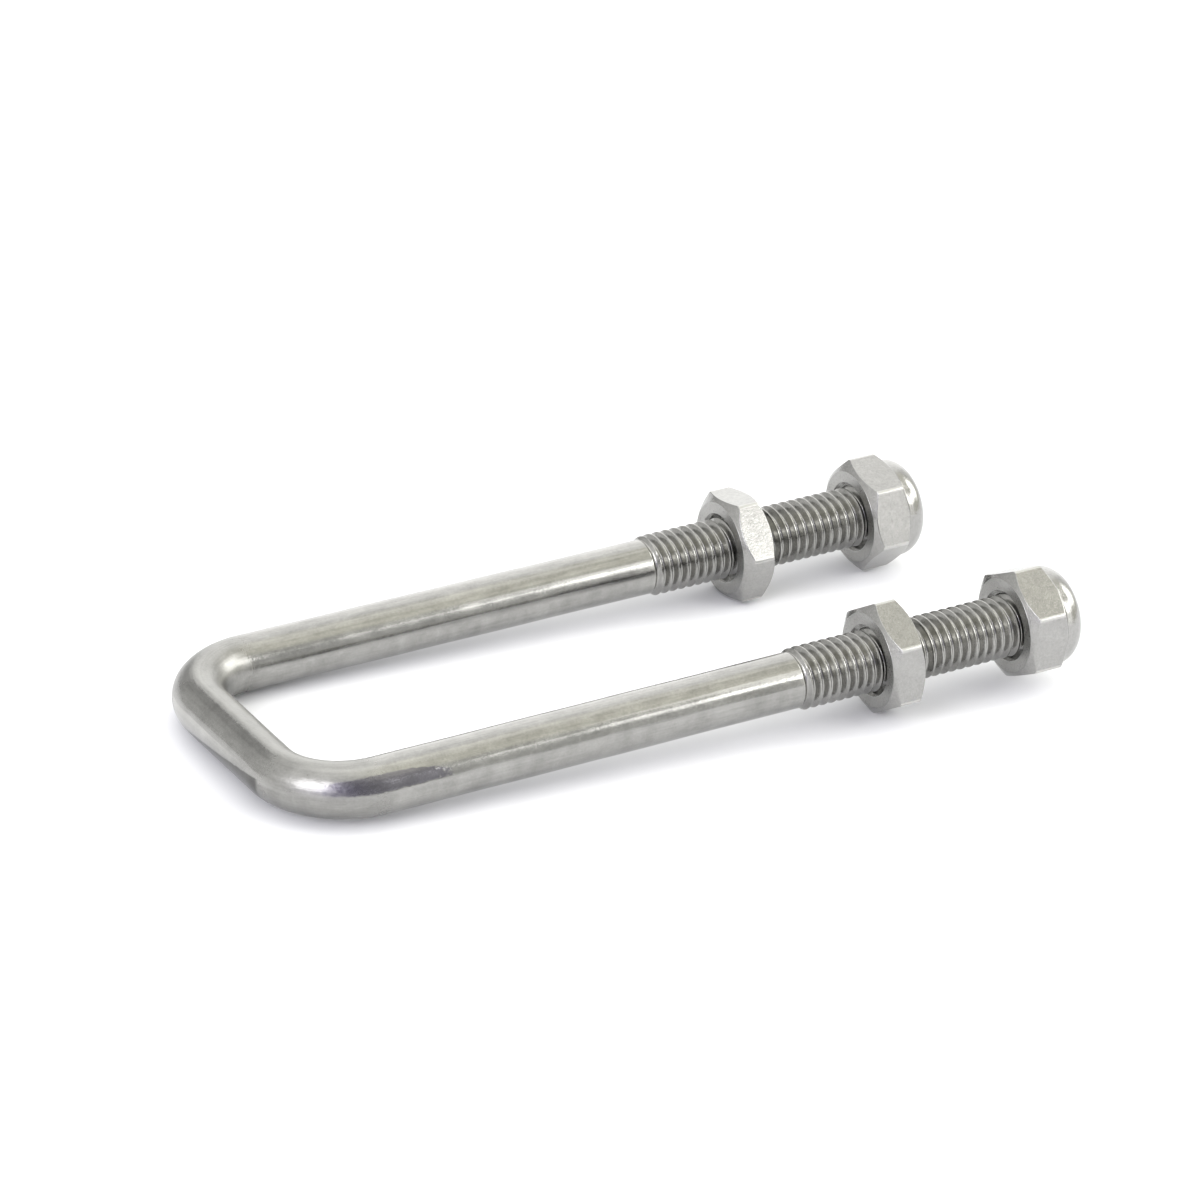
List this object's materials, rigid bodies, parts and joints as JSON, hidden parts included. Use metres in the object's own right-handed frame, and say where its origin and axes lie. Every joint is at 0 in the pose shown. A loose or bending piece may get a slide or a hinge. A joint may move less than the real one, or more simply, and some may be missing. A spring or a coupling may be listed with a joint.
{
  "type": "u-bolt",
  "caption": "Round bar bent into a U with threaded legs, each carrying a thin hexagon nut and a nylon-insert lock nut that clamp a crosspiece between them.",
  "frame": {"origin": "middle of the crossbar's inner face, where a catch hook bears, on the centre plane of the rod", "axes": "+X along the legs towards their threaded ends, +Y towards the left leg, +Z square to the plane of the U"},
  "size_m": [0.1086, 0.0508, 0.015],
  "materials": {
    "rod_steel": "drawn stainless bar, satin, with a rolled thread",
    "nut_steel": "bright barrel-polished stainless steel",
    "nylon": "blue nylon, slightly glossy"
  },
  "bodies": {
    "u_rod": {"u_rod": "rod_steel"},
    "left_hex_nut": {"left_hex_nut": "nut_steel"},
    "left_nylon_ring": {"left_nylon_ring": "nylon"},
    "left_lock_nut": {"left_lock_nut": "nut_steel"},
    "right_hex_nut": {"right_hex_nut": "nut_steel"},
    "right_nylon_ring": {"right_nylon_ring": "nylon"},
    "right_lock_nut": {"right_lock_nut": "nut_steel"}
  },
  "joints": [
    {"name": "left_hex_nut_travel", "type": "slide", "parent": "u_rod", "child": "left_hex_nut", "axis": [1, 0, 0], "range_m": [-0.0075, 0.0075]},
    {"name": "left_lock_nut_travel", "type": "slide", "parent": "u_rod", "child": "left_nylon_ring", "axis": [1, 0, 0], "range_m": [-0.0063, 0.0063]},
    {"name": "left_lock_nut_turn", "type": "hinge", "parent": "left_nylon_ring", "child": "left_lock_nut", "pos_m": [0.0933, 0.0183, 0], "axis": [1, 0, 0], "range_deg": [-1800, 1800]},
    {"name": "right_hex_nut_travel", "type": "slide", "parent": "u_rod", "child": "right_hex_nut", "axis": [1, 0, 0], "range_m": [-0.0075, 0.0075]},
    {"name": "right_lock_nut_travel", "type": "slide", "parent": "u_rod", "child": "right_nylon_ring", "axis": [1, 0, 0], "range_m": [-0.0063, 0.0063]},
    {"name": "right_lock_nut_turn", "type": "hinge", "parent": "right_nylon_ring", "child": "right_lock_nut", "pos_m": [0.0933, -0.0183, 0], "axis": [1, 0, 0], "range_deg": [-1800, 1800]}
  ],
  "couplings": [
    {"joint": "left_lock_nut_travel", "follows": "left_lock_nut_turn", "m_per_rad": 0.00019894},
    {"joint": "right_lock_nut_travel", "follows": "right_lock_nut_turn", "m_per_rad": 0.00019894}
  ]
}
